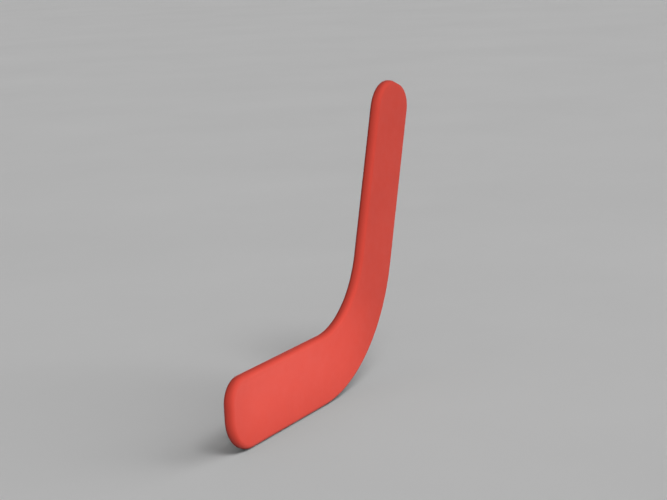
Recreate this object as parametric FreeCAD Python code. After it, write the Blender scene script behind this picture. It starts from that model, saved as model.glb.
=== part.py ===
import FreeCAD, Part
import math
import os

# A two-armed boomerang, sawn from five-ply birch plywood, rounded along its edges
# and painted all over. It stands on the outer edge of its lower arm.
#
# Frame, in millimetres: the blade lies in the XZ plane and its thickness runs along Y,
# with the front face at -Y. The lower arm runs along X with its tip towards -X, and the
# upper arm rises from the bend, leaning towards +X. The origin is the bottom centre of
# the blade's bounding box. Seen from the front, the blade spins anticlockwise in flight:
# the lower arm goes with its outer side first, and the upper arm with its inner side.

# The finished blade, paint included
ARM_WIDTH = 45.0
LOWER_ARM_LENGTH = 170.0    # from the corner where the arms' centrelines cross to the tip
UPPER_ARM_LENGTH = 178.0
ARM_ANGLE = 109.0           # degrees between the arms' centrelines
INNER_BEND_RADIUS = 60.0    # the outer one is an arm's width more, with the same centre
LEADING_CORNER_RADIUS = 22.0    # at each tip, on the side that goes first in flight
TRAILING_CORNER_RADIUS = 15.0   # at each tip, on the other side
EDGE_ROUND = 3.1            # radius along every edge of both faces

# The lay-up through the thickness, from the front face to the back face
FACE_VENEER = 1.1
INNER_VENEER = 1.3
GLUE_LINE = 0.1
LAY_UP = [
    ("front_face_veneer", FACE_VENEER),
    ("front_outer_glue_line", GLUE_LINE),
    ("front_cross_veneer", INNER_VENEER),
    ("front_inner_glue_line", GLUE_LINE),
    ("core_veneer", INNER_VENEER),
    ("back_inner_glue_line", GLUE_LINE),
    ("back_cross_veneer", INNER_VENEER),
    ("back_outer_glue_line", GLUE_LINE),
    ("back_face_veneer", FACE_VENEER),
]

# Primer and red topcoat together, over the whole board
PAINT_COAT = 0.2

BOARD_THICKNESS = sum(thickness for name, thickness in LAY_UP)
BLADE_THICKNESS = BOARD_THICKNESS + 2 * PAINT_COAT

BEND = math.radians(180 - ARM_ANGLE)    # how far the centreline turns between the arms
LOWER_OUT = FreeCAD.Vector(-1, 0, 0)    # along the lower arm, towards its tip
LOWER_IN = FreeCAD.Vector(0, 0, 1)      # across the lower arm, towards the inside of the bend
UPPER_OUT = FreeCAD.Vector(math.cos(BEND), 0, math.sin(BEND))
UPPER_IN = FreeCAD.Vector(-math.sin(BEND), 0, math.cos(BEND))
BEND_IN = FreeCAD.Vector(-math.sin(BEND / 2), 0, math.cos(BEND / 2))


def arms_cross():
    """Where the centrelines cross, which puts the origin under the middle of the blade."""
    radius = TRAILING_CORNER_RADIUS
    left = -LOWER_ARM_LENGTH
    upper_corner = UPPER_OUT * (UPPER_ARM_LENGTH - radius) - UPPER_IN * (ARM_WIDTH / 2 - radius)
    right = upper_corner.x + radius
    return FreeCAD.Vector(-(left + right) / 2, 0, ARM_WIDTH / 2)


def outline_corners(inset):
    """The outline's six corners, each with its rounding radius, moved inwards by inset."""
    cross = arms_cross()
    half_width = ARM_WIDTH / 2 - inset
    lower_end = cross + LOWER_OUT * (LOWER_ARM_LENGTH - inset)
    upper_end = cross + UPPER_OUT * (UPPER_ARM_LENGTH - inset)
    bend_reach = half_width / math.cos(BEND / 2)
    return [
        (lower_end - LOWER_IN * half_width, LEADING_CORNER_RADIUS - inset),
        (cross - BEND_IN * bend_reach, INNER_BEND_RADIUS + ARM_WIDTH - inset),
        (upper_end - UPPER_IN * half_width, TRAILING_CORNER_RADIUS - inset),
        (upper_end + UPPER_IN * half_width, LEADING_CORNER_RADIUS - inset),
        (cross + BEND_IN * bend_reach, INNER_BEND_RADIUS + inset),
        (lower_end + LOWER_IN * half_width, TRAILING_CORNER_RADIUS - inset),
    ]


def corner_arc(before, corner, after, radius):
    """The arc that rounds a corner between the straight runs to the points before and after it."""
    to_before = (before - corner).normalize()
    to_after = (after - corner).normalize()
    bisector = (to_before + to_after).normalize()
    half_angle = to_before.getAngle(bisector)
    tangent_length = radius / math.tan(half_angle)
    middle = corner + bisector * (radius / math.sin(half_angle) - radius)
    return Part.Arc(corner + to_before * tangent_length, middle, corner + to_after * tangent_length)


def outline(inset):
    """The blade's outline as a closed wire of arcs and straight runs, moved inwards by inset."""
    corners = outline_corners(inset)
    count = len(corners)
    arcs = []
    for index, (corner, radius) in enumerate(corners):
        before = corners[index - 1][0]
        after = corners[(index + 1) % count][0]
        arcs.append(corner_arc(before, corner, after, radius))
    edges = []
    for index, arc in enumerate(arcs):
        next_arc = arcs[(index + 1) % count]
        edges.append(arc.toShape())
        edges.append(Part.makeLine(arc.EndPoint, next_arc.StartPoint))
    return Part.Wire(edges)


def rounded_blade(inset):
    """The blade with its edges rounded, shrunk by inset on every side."""
    thickness = BLADE_THICKNESS - 2 * inset
    face = Part.Face(outline(inset))
    face.translate(FreeCAD.Vector(0, -thickness / 2, 0))
    plate = face.extrude(FreeCAD.Vector(0, thickness, 0))
    walls = [edge for edge in plate.Edges if edge.BoundBox.YLength > thickness / 2]
    rims = [edge for edge in plate.Edges if not any(edge.isSame(wall) for wall in walls)]
    return plate.makeFillet(EDGE_ROUND - inset, rims).Solids[0]


def layer(board, front, thickness):
    """The part of the board between the planes at front and at front plus thickness."""
    margin = 1.0
    box = board.BoundBox
    corner = FreeCAD.Vector(box.XMin - margin, front, box.ZMin - margin)
    slab = Part.makeBox(box.XLength + 2 * margin, thickness, box.ZLength + 2 * margin, corner)
    return board.common(slab).Solids[0]


blade = rounded_blade(0)
board = rounded_blade(PAINT_COAT)

os.makedirs("parts", exist_ok=True)
front = -BOARD_THICKNESS / 2
for name, thickness in LAY_UP:
    layer(board, front, thickness).exportStep(f"parts/{name}.step")
    front += thickness
blade.cut(board).Solids[0].exportStep("parts/paint_coat.step")
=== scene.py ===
import math

import bpy
from mathutils import Matrix, Vector


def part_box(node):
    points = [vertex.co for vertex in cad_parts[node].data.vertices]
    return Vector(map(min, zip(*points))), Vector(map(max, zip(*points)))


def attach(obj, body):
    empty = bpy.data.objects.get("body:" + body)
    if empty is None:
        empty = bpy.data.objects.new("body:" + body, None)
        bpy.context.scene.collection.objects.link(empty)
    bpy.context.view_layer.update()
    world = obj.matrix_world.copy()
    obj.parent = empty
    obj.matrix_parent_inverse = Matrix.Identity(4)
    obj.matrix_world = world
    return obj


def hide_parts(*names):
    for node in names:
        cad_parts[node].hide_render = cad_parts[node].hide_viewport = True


# A red plywood boomerang standing on the outer edge of its lower arm, on a pale studio
# floor. Everything is in metres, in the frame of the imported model: the blade lies in the
# XZ plane, its front face looks towards -Y, and the floor is at its lowest point.

MM = 0.001

# The blade's driving sizes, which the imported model's paint coat was made from
ARM_WIDTH = 45.0 * MM
LOWER_ARM_LENGTH = 170.0 * MM
UPPER_ARM_LENGTH = 178.0 * MM
ARM_ANGLE = math.radians(109.0)
INNER_BEND_RADIUS = 60.0 * MM
LEADING_CORNER_RADIUS = 22.0 * MM
TRAILING_CORNER_RADIUS = 15.0 * MM
EDGE_ROUND = 3.1 * MM
PAINT_COAT = 0.2 * MM

# How finely the paint film's mesh follows those sizes
STRAIGHT_STEPS = 40
BEND_STEPS = 48
HALF_CORNER_STEPS = 12
TIP_STEPS = 6
EDGE_ROUND_STEPS = 10
TIP_SHAPE_REACH = 30        # rows over which the tip's curve fades into straight rows

# Colours, in linear red, green and blue
PAINT_RED = (0.630, 0.063, 0.043)
PAINT_LIGHT = (0.646, 0.066, 0.045)
PAINT_DARK = (0.612, 0.060, 0.041)
FACE_EARLY_WOOD = (0.78, 0.60, 0.40)
FACE_LATE_WOOD = (0.62, 0.44, 0.26)
CORE_EARLY_WOOD = (0.74, 0.56, 0.36)
CORE_LATE_WOOD = (0.58, 0.40, 0.23)
CROSS_EARLY_WOOD = (0.71, 0.52, 0.33)
CROSS_LATE_WOOD = (0.55, 0.37, 0.21)
GLUE_LIGHT = (0.190, 0.085, 0.042)
GLUE_DARK = (0.075, 0.030, 0.016)
FLOOR_LIGHT = (0.815, 0.815, 0.815)
FLOOR_DARK = (0.785, 0.785, 0.785)

# How strongly the surfaces mirror, as the shader's specular level
SATIN_SPECULAR = 0.25
MATT_SPECULAR = 0.15

FLOOR_SIZE = 60.0
FLOOR_CELLS = 12
FLOOR_LOOK = 0.448          # brightness of the studio beyond the floor, matched to the far floor's


def direction(azimuth, elevation):
    """Unit vector towards a place around the object. Azimuth 0 is at -Y, and it grows towards +X."""
    a, e = math.radians(azimuth), math.radians(elevation)
    return Vector((math.sin(a) * math.cos(e), -math.cos(a) * math.cos(e), math.sin(e)))


# ---------------------------------------------------------------- the paint film's mesh


class Blade:
    """The blade's outline in its own plane: x is the frame's X, and z its Z."""

    def __init__(self, low, high):
        self.bend = math.pi - ARM_ANGLE
        self.half_thickness = (high.y - low.y) / 2
        self.cross = Vector((low.x + LOWER_ARM_LENGTH, low.z + ARM_WIDTH / 2))
        self.lower_out = Vector((-1, 0))
        self.lower_in = Vector((0, 1))
        self.upper_out = Vector((math.cos(self.bend), math.sin(self.bend)))
        self.upper_in = Vector((-math.sin(self.bend), math.cos(self.bend)))

    def bend_centre(self):
        """Centre of the bend's inner and outer arcs."""
        middle_radius = INNER_BEND_RADIUS + ARM_WIDTH / 2
        bend_start = self.cross + self.lower_out * middle_radius * math.tan(self.bend / 2)
        return bend_start + self.lower_in * middle_radius

    def tip_corner(self, out, inwards, length, side):
        """Centre and radius of a tip's rounded corner. side is 1 towards the inside of the bend, or -1."""
        leading = (out == self.upper_out) == (side > 0)
        radius = LEADING_CORNER_RADIUS if leading else TRAILING_CORNER_RADIUS
        return self.cross + out * (length - radius) + inwards * side * (ARM_WIDTH / 2 - radius), radius

    def side(self, side, inset):
        """One long side, from the middle of the lower tip's corner to the middle of the upper tip's."""
        lower, lower_radius = self.tip_corner(self.lower_out, self.lower_in, LOWER_ARM_LENGTH, side)
        upper, upper_radius = self.tip_corner(self.upper_out, self.upper_in, UPPER_ARM_LENGTH, side)
        lower_radius -= inset
        upper_radius -= inset
        bend_radius = INNER_BEND_RADIUS + (inset if side > 0 else ARM_WIDTH - inset)
        eighth, quarter = math.pi / 4, math.pi / 2
        points = fan(lower, self.lower_out, self.lower_in * side, lower_radius,
                     eighth, quarter, HALF_CORNER_STEPS)
        bend_start = self.bend_centre() - self.lower_in * bend_radius
        points += run(points.pop(), bend_start, STRAIGHT_STEPS)
        points += fan(self.bend_centre(), self.lower_out * -1, self.lower_in * -1, bend_radius,
                      quarter, quarter - self.bend, BEND_STEPS)[1:]
        tip_start = upper + self.upper_in * side * upper_radius
        points += run(points.pop(), tip_start, STRAIGHT_STEPS)
        points += fan(upper, self.upper_out, self.upper_in * side, upper_radius,
                      quarter, eighth, HALF_CORNER_STEPS)[1:]
        return points

    def tip(self, out, inwards, length, inset):
        """A tip's end from the middle of its outer corner to the middle of its inner one."""
        outer, outer_radius = self.tip_corner(out, inwards, length, -1)
        inner, inner_radius = self.tip_corner(out, inwards, length, 1)
        outer_radius -= inset
        inner_radius -= inset
        eighth = math.pi / 4
        points = fan(outer, out, inwards * -1, outer_radius, eighth, 0.0, HALF_CORNER_STEPS)
        points += run(points.pop(), inner + out * inner_radius, TIP_STEPS)
        points += fan(inner, out, inwards, inner_radius, 0.0, eighth, HALF_CORNER_STEPS)[1:]
        return points


def fan(centre, first, second, radius, start, end, steps):
    """Points on an arc. Angles count from the direction first towards the direction second."""
    points = []
    for step in range(steps + 1):
        angle = start + (end - start) * step / steps
        points.append(centre + (first * math.cos(angle) + second * math.sin(angle)) * radius)
    return points


def run(start, end, steps):
    """Evenly spaced points on a straight run."""
    return [start.lerp(end, step / steps) for step in range(steps + 1)]


def face_grid(blade, inset):
    """Rows of points that fill the outline moved in by inset, from the lower tip to the upper one."""
    outer, inner = blade.side(-1, inset), blade.side(1, inset)
    lower_tip = blade.tip(blade.lower_out, blade.lower_in, LOWER_ARM_LENGTH, inset)
    upper_tip = blade.tip(blade.upper_out, blade.upper_in, UPPER_ARM_LENGTH, inset)
    across = len(lower_tip) - 1
    rows = []
    for index, (left, right) in enumerate(zip(outer, inner)):
        from_lower = max(0.0, 1 - index / TIP_SHAPE_REACH) ** 2
        from_upper = max(0.0, 1 - (len(outer) - 1 - index) / TIP_SHAPE_REACH) ** 2
        row = []
        for column in range(across + 1):
            share = column / across
            lower_bulge = lower_tip[column] - lower_tip[0].lerp(lower_tip[-1], share)
            upper_bulge = upper_tip[column] - upper_tip[0].lerp(upper_tip[-1], share)
            row.append(left.lerp(right, share) + lower_bulge * from_lower + upper_bulge * from_upper)
        rows.append(row)
    return rows


def grid_rim(rows):
    """Row and column of each point on a grid's rim, once round."""
    last_row, last_column = len(rows) - 1, len(rows[0]) - 1
    rim = [(row, 0) for row in range(last_row)]
    rim += [(last_row, column) for column in range(last_column)]
    rim += [(row, last_column) for row in range(last_row, 0, -1)]
    rim += [(0, column) for column in range(last_column, 0, -1)]
    return rim


def add_skin(blade, inset, outwards, vertices, faces):
    """Adds one closed skin of the blade, moved in by inset, whose faces look out of it or into it."""
    round_radius = EDGE_ROUND - inset
    half_thickness = blade.half_thickness - inset
    face_rows = face_grid(blade, EDGE_ROUND)
    rim = grid_rim(face_rows)
    core = [face_rows[row][column] for row, column in rim]
    reach = [point - core[index] for index, point in enumerate(rim_points(blade, inset))]
    rings = []
    for side in (-1, 1):
        for step in range(EDGE_ROUND_STEPS + 1):
            turn = math.pi / 2 * (step / EDGE_ROUND_STEPS if side > 0 else 1 - step / EDGE_ROUND_STEPS)
            depth = side * (half_thickness - round_radius + round_radius * math.sin(turn))
            rings.append((depth, math.cos(turn)))

    def add(face):
        faces.append(face if outwards else tuple(reversed(face)))

    columns = len(face_rows[0])
    starts = {}
    for side in (-1, 1):
        starts[side] = len(vertices)
        for row in face_rows:
            vertices.extend((point.x, side * half_thickness, point.y) for point in row)
        for row in range(len(face_rows) - 1):
            for column in range(columns - 1):
                a = starts[side] + row * columns + column
                b, c, d = a + columns, a + columns + 1, a + 1
                add((a, b, c, d) if side < 0 else (a, d, c, b))
    ring_ids = []
    for number, (depth, share) in enumerate(rings):
        if number in (0, len(rings) - 1):
            side = -1 if number == 0 else 1
            ring_ids.append([starts[side] + row * columns + column for row, column in rim])
            continue
        ring_ids.append(list(range(len(vertices), len(vertices) + len(core))))
        for point, outreach in zip(core, reach):
            place = point + outreach * share
            vertices.append((place.x, depth, place.y))
    for near, far in zip(ring_ids, ring_ids[1:]):
        for index in range(len(core)):
            following = (index + 1) % len(core)
            add((near[index], far[index], far[following], near[following]))


def rim_points(blade, inset):
    """The outline moved in by inset, point for point with the rim of a face's grid."""
    rows = face_grid(blade, inset)
    return [rows[row][column] for row, column in grid_rim(rows)]


def make_paint_film(blade):
    """The paint as a closed film: the skin that shows, and the one against the wood."""
    vertices, faces = [], []
    add_skin(blade, 0.0, True, vertices, faces)
    add_skin(blade, PAINT_COAT, False, vertices, faces)
    mesh = bpy.data.meshes.new("red_paint_film")
    mesh.from_pydata(vertices, [], faces)
    mesh.validate()
    mesh.shade_smooth()
    film = bpy.data.objects.new("red_paint_film", mesh)
    bpy.context.scene.collection.objects.link(film)
    return film


# ---------------------------------------------------------------- materials


class Nodes:
    """A material's node tree, with short ways to add to it."""

    def __init__(self, name):
        self.material = bpy.data.materials.new(name)
        self.material.use_nodes = True
        self.tree = self.material.node_tree
        self.shader = self.tree.nodes["Principled BSDF"]
        self.place = self.add("ShaderNodeTexCoord").outputs["Object"]

    def add(self, kind, **settings):
        node = self.tree.nodes.new(kind)
        for key, value in settings.items():
            if key in node.inputs:
                node.inputs[key].default_value = value
            else:
                setattr(node, key, value)
        return node

    def link(self, output, target):
        self.tree.links.new(output, target)

    def stretched(self, scale, turn=0.0):
        """Object coordinates turned about Y by turn, then scaled, so that features are 1/scale long."""
        turned = self.add("ShaderNodeMapping")
        turned.inputs["Rotation"].default_value = (0.0, turn, 0.0)
        self.link(self.place, turned.inputs["Vector"])
        scaled = self.add("ShaderNodeMapping")
        scaled.inputs["Scale"].default_value = scale
        self.link(turned.outputs["Vector"], scaled.inputs["Vector"])
        return scaled.outputs["Vector"]

    def noise(self, vector, scale, detail=2.0, roughness=0.5):
        node = self.add("ShaderNodeTexNoise", Scale=scale, Detail=detail, Roughness=roughness)
        self.link(vector, node.inputs["Vector"])
        return node.outputs["Fac"]

    def ramp(self, value, stops):
        node = self.add("ShaderNodeValToRGB")
        ramp = node.color_ramp
        while len(ramp.elements) < len(stops):
            ramp.elements.new(0.5)
        for element, (position, colour) in zip(ramp.elements, stops):
            element.position = position
            element.color = (*colour, 1.0)
        self.link(value, node.inputs["Fac"])
        return node.outputs["Color"]

    def between(self, value, low, high, from_low=0.3, from_high=0.7):
        node = self.add("ShaderNodeMapRange")
        node.inputs["From Min"].default_value = from_low
        node.inputs["From Max"].default_value = from_high
        node.inputs["To Min"].default_value = low
        node.inputs["To Max"].default_value = high
        self.link(value, node.inputs["Value"])
        return node.outputs["Result"]

    def bump(self, height, distance, strength=1.0, over=None):
        node = self.add("ShaderNodeBump", Strength=strength, Distance=distance)
        self.link(height, node.inputs["Height"])
        if over is not None:
            self.link(over, node.inputs["Normal"])
        return node.outputs["Normal"]


def paint_material(grain_turn):
    """Satin red enamel over sanded birch: sprayed texture, and the grain showing faintly through."""
    nodes = Nodes("satin_red_enamel")
    shader = nodes.shader
    clouds = nodes.noise(nodes.place, scale=28.0, detail=3.0, roughness=0.55)
    colour = nodes.ramp(clouds, [(0.30, PAINT_DARK), (0.50, PAINT_RED), (0.72, PAINT_LIGHT)])
    nodes.link(colour, shader.inputs["Base Color"])
    spray = nodes.noise(nodes.place, scale=950.0, detail=2.0, roughness=0.5)
    mottle = nodes.noise(nodes.place, scale=160.0, detail=3.0, roughness=0.6)
    nodes.link(nodes.between(mottle, low=0.43, high=0.52), shader.inputs["Roughness"])
    along_grain = nodes.stretched((18.0, 700.0, 700.0), grain_turn)
    grain = nodes.noise(along_grain, scale=1.0, detail=3.0, roughness=0.6)
    grain_normal = nodes.bump(grain, distance=0.010 * MM)
    mottle_normal = nodes.bump(mottle, distance=0.016 * MM, over=grain_normal)
    nodes.link(nodes.bump(spray, distance=0.006 * MM, over=mottle_normal), shader.inputs["Normal"])
    shader.inputs["Specular IOR Level"].default_value = SATIN_SPECULAR
    return nodes.material


def veneer_material(name, grain_turn, early_wood, late_wood):
    """Peeled birch: broad figure from the growth rings, and fine pores along the grain."""
    nodes = Nodes(name)
    shader = nodes.shader
    along = nodes.stretched((1.6, 34.0, 34.0), grain_turn)
    drift = nodes.noise(nodes.place, scale=9.0, detail=2.0, roughness=0.5)
    rings = nodes.add("ShaderNodeTexWave", wave_type="BANDS", bands_direction="Z", wave_profile="SAW",
                      Scale=1.4, Distortion=5.0, Detail=3.0)
    nodes.link(along, rings.inputs["Vector"])
    nodes.link(nodes.between(drift, low=0.0, high=6.0), rings.inputs["Phase Offset"])
    along_pores = nodes.stretched((60.0, 2600.0, 2600.0), grain_turn)
    pores = nodes.noise(along_pores, scale=1.0, detail=2.0, roughness=0.5)
    broad = nodes.between(rings.outputs["Fac"], low=0.1, high=0.5, from_low=0.0, from_high=1.0)
    mixed = nodes.add("ShaderNodeMath", operation="MULTIPLY_ADD")
    nodes.link(pores, mixed.inputs[0])
    mixed.inputs[1].default_value = 0.45
    nodes.link(broad, mixed.inputs[2])
    figure = mixed.outputs["Value"]
    nodes.link(nodes.ramp(figure, [(0.25, late_wood), (0.55, early_wood), (0.85, early_wood)]),
               shader.inputs["Base Color"])
    nodes.link(nodes.between(pores, low=0.62, high=0.78), shader.inputs["Roughness"])
    nodes.link(nodes.bump(pores, distance=0.03 * MM), shader.inputs["Normal"])
    shader.inputs["Specular IOR Level"].default_value = SATIN_SPECULAR
    return nodes.material


def glue_material():
    """Cured plywood glue: a dark brown film, uneven where it soaked into the veneers."""
    nodes = Nodes("cured_glue")
    shader = nodes.shader
    soak = nodes.noise(nodes.place, scale=220.0, detail=4.0, roughness=0.6)
    nodes.link(nodes.ramp(soak, [(0.35, GLUE_DARK), (0.65, GLUE_LIGHT)]), shader.inputs["Base Color"])
    nodes.link(nodes.between(soak, low=0.35, high=0.6), shader.inputs["Roughness"])
    nodes.link(nodes.bump(soak, distance=0.01 * MM), shader.inputs["Normal"])
    return nodes.material


def floor_material():
    """Matt pale grey studio floor with a barely visible unevenness."""
    nodes = Nodes("studio_floor")
    shader = nodes.shader
    patches = nodes.noise(nodes.place, scale=3.0, detail=4.0, roughness=0.6)
    nodes.link(nodes.ramp(patches, [(0.3, FLOOR_DARK), (0.7, FLOOR_LIGHT)]), shader.inputs["Base Color"])
    nodes.link(nodes.between(patches, low=0.88, high=0.95), shader.inputs["Roughness"])
    shader.inputs["Specular IOR Level"].default_value = MATT_SPECULAR
    return nodes.material


def finish_with(node, material):
    """Gives every material slot of an object this material."""
    materials = node.data.materials
    if not materials:
        materials.append(material)
    for index in range(len(materials)):
        materials[index] = material


def finish_plies(nodes, grain_turn):
    """Wood and glue for the plies inside the paint, with the grain turned from ply to ply."""
    across_turn = grain_turn + math.pi / 2
    face = veneer_material("birch_face_veneer", grain_turn, FACE_EARLY_WOOD, FACE_LATE_WOOD)
    core = veneer_material("birch_core_veneer", grain_turn, CORE_EARLY_WOOD, CORE_LATE_WOOD)
    cross = veneer_material("birch_cross_veneer", across_turn, CROSS_EARLY_WOOD, CROSS_LATE_WOOD)
    glue = glue_material()
    for name, node in nodes.items():
        if name.endswith("face_veneer"):
            finish_with(node, face)
        elif name.endswith("cross_veneer"):
            finish_with(node, cross)
        elif name == "core_veneer":
            finish_with(node, core)
        elif name.endswith("glue_line"):
            finish_with(node, glue)


# ---------------------------------------------------------------- studio


def make_floor(height):
    """A floor so large that its far edge passes for the horizon."""
    half = FLOOR_SIZE / 2
    lines = range(FLOOR_CELLS + 1)
    places = [-half + FLOOR_SIZE * line / FLOOR_CELLS for line in lines]
    vertices = [(x, y, height) for y in places for x in places]
    faces = []
    for row in range(FLOOR_CELLS):
        for column in range(FLOOR_CELLS):
            a = row * len(lines) + column
            b = a + len(lines)
            faces.append((a, a + 1, b + 1, b))
    mesh = bpy.data.meshes.new("studio_floor")
    mesh.from_pydata(vertices, [], faces)
    floor = bpy.data.objects.new("studio_floor", mesh)
    bpy.context.scene.collection.objects.link(floor)
    finish_with(floor, floor_material())
    return floor


def light_world(front, back, below, towards, softness):
    """Soft light from one side of the studio, dim from the other side and from below the floor."""
    world = bpy.data.worlds.new("studio")
    bpy.context.scene.world = world
    world.use_nodes = True
    tree = world.node_tree
    background = tree.nodes["Background"]
    place = tree.nodes.new("ShaderNodeTexCoord")

    def ramp_along(way, from_low, from_high, to_low, to_high):
        dot = tree.nodes.new("ShaderNodeVectorMath")
        dot.operation = "DOT_PRODUCT"
        dot.inputs[1].default_value = way
        tree.links.new(place.outputs["Generated"], dot.inputs[0])
        node = tree.nodes.new("ShaderNodeMapRange")
        node.interpolation_type = "SMOOTHSTEP"
        node.inputs["From Min"].default_value = from_low
        node.inputs["From Max"].default_value = from_high
        node.inputs["To Min"].default_value = to_low
        node.inputs["To Max"].default_value = to_high
        tree.links.new(dot.outputs["Value"], node.inputs["Value"])
        return node.outputs["Result"]

    studio = tree.nodes.new("ShaderNodeMath")
    studio.operation = "MULTIPLY"
    sideways = ramp_along(towards, from_low=-softness, from_high=softness, to_low=back, to_high=front)
    upwards = ramp_along((0, 0, 1), from_low=-0.15, from_high=0.05, to_low=below, to_high=1.0)
    tree.links.new(sideways, studio.inputs[0])
    tree.links.new(upwards, studio.inputs[1])
    seen = tree.nodes.new("ShaderNodeMix")
    ray = tree.nodes.new("ShaderNodeLightPath")
    tree.links.new(ray.outputs["Is Camera Ray"], seen.inputs["Factor"])
    tree.links.new(studio.outputs["Value"], seen.inputs["A"])
    seen.inputs["B"].default_value = FLOOR_LOOK
    tree.links.new(seen.outputs["Result"], background.inputs["Strength"])
    background.inputs["Color"].default_value = (1.0, 1.0, 1.0, 1.0)


def add_lamp(data, target, towards, distance, receivers, glossy=True):
    """Places a lamp that shines at target from the direction towards, and lights only the receivers.

    The camera never sees it. Without glossy, the receivers don't mirror it either.
    """
    lamp = bpy.data.objects.new(data.name, data)
    lamp.rotation_mode = "QUATERNION"
    lamp.rotation_quaternion = towards.to_track_quat("Z", "Y")
    lamp.location = target + towards * distance
    lamp.visible_camera = False
    lamp.visible_glossy = glossy
    bpy.context.scene.collection.objects.link(lamp)
    lit = bpy.data.collections.new(data.name + "_lights_up")
    for receiver in receivers:
        lit.objects.link(receiver)
    lamp.light_linking.receiver_collection = lit


def add_sun(name, towards, strength, softness, receivers, glossy=True):
    """A far lamp that looks softness degrees wide."""
    data = bpy.data.lights.new(name, "SUN")
    data.energy = strength
    data.angle = math.radians(softness)
    add_lamp(data, Vector((0, 0, 0)), towards, 1.0, receivers, glossy)


def add_strip(name, target, towards, distance, length, height, power, receivers):
    """A flat rectangular softbox close to the object."""
    data = bpy.data.lights.new(name, "AREA")
    data.shape = "RECTANGLE"
    data.size = length
    data.size_y = height
    data.energy = power
    add_lamp(data, target, towards, distance, receivers)


def make_camera(target, azimuth, elevation, roll, distance, lens):
    """The camera at the photograph's angle, looking at target."""
    data = bpy.data.cameras.new("camera")
    data.sensor_width = 36.0
    data.lens = lens
    data.clip_start = 0.01
    data.clip_end = 3 * FLOOR_SIZE
    camera = bpy.data.objects.new("camera", data)
    back = direction(azimuth, elevation)
    look = back.to_track_quat("Z", "Y").to_matrix() @ Matrix.Rotation(roll, 3, "Z")
    camera.rotation_mode = "QUATERNION"
    camera.rotation_quaternion = look.to_quaternion()
    camera.location = target + back * distance
    bpy.context.scene.collection.objects.link(camera)
    bpy.context.scene.camera = camera


def make_lights(film, floor, low, high):
    """Soft light all round, and lamps that shape the blade and the floor's shadows separately."""
    light_world(front=0.22, back=0.02, below=0.02, towards=direction(0, 35), softness=0.6)
    add_sun("floor_side_key", direction(45, 24), strength=0.92, softness=55.0, receivers=[floor])
    add_sun("floor_top_key", direction(-23, 61), strength=0.96, softness=30.0, receivers=[floor])
    add_sun("side_key", direction(-48, 18), strength=2.30, softness=18.0, receivers=[film], glossy=False)
    add_sun("right_key", direction(38, 18), strength=1.26, softness=30.0, receivers=[film], glossy=False)
    add_sun("back_fill", direction(120, 8), strength=3.6, softness=15.0, receivers=[film], glossy=False)
    lower_arm = Vector((low.x + 80 * MM, low.y, low.z + 29.5 * MM))
    add_strip("low_strip", lower_arm, direction(0, 0), distance=30 * MM,
              length=170 * MM, height=58 * MM, power=0.0155, receivers=[film])
    behind_tip = Vector((low.x + 18 * MM, high.y + 8 * MM, low.z))
    add_strip("shadow_fill", behind_tip, direction(-150, 75), distance=9 * MM,
              length=30 * MM, height=8 * MM, power=0.00019, receivers=[floor])


# ---------------------------------------------------------------- the scene

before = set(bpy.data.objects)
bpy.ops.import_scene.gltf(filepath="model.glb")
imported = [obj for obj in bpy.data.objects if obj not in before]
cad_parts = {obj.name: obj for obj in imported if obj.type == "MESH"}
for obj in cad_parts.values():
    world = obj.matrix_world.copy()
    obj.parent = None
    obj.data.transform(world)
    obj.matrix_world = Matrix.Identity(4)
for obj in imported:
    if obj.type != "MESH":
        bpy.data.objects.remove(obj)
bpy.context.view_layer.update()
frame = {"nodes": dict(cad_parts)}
low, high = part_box("paint_coat")
blade = Blade(low, high)
bpy.context.scene.view_settings.view_transform = "Standard"

make_camera(target=Vector((13.0 * MM, 0.0, 94.5 * MM)), azimuth=-61.87, elevation=11.08,
            roll=math.radians(-2.51), distance=1.0439, lens=89.92)

tips = blade.upper_out * UPPER_ARM_LENGTH - blade.lower_out * LOWER_ARM_LENGTH
grain_turn = math.atan2(tips.y, tips.x)

film = make_paint_film(blade)
finish_with(film, paint_material(grain_turn))
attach(film, "root")
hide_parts("paint_coat")
finish_plies(frame["nodes"], grain_turn)

floor = make_floor(low.z)

# Neither the blade nor the floor throws light on the other
film.visible_diffuse = False
floor.visible_diffuse = False
make_lights(film, floor, low, high)
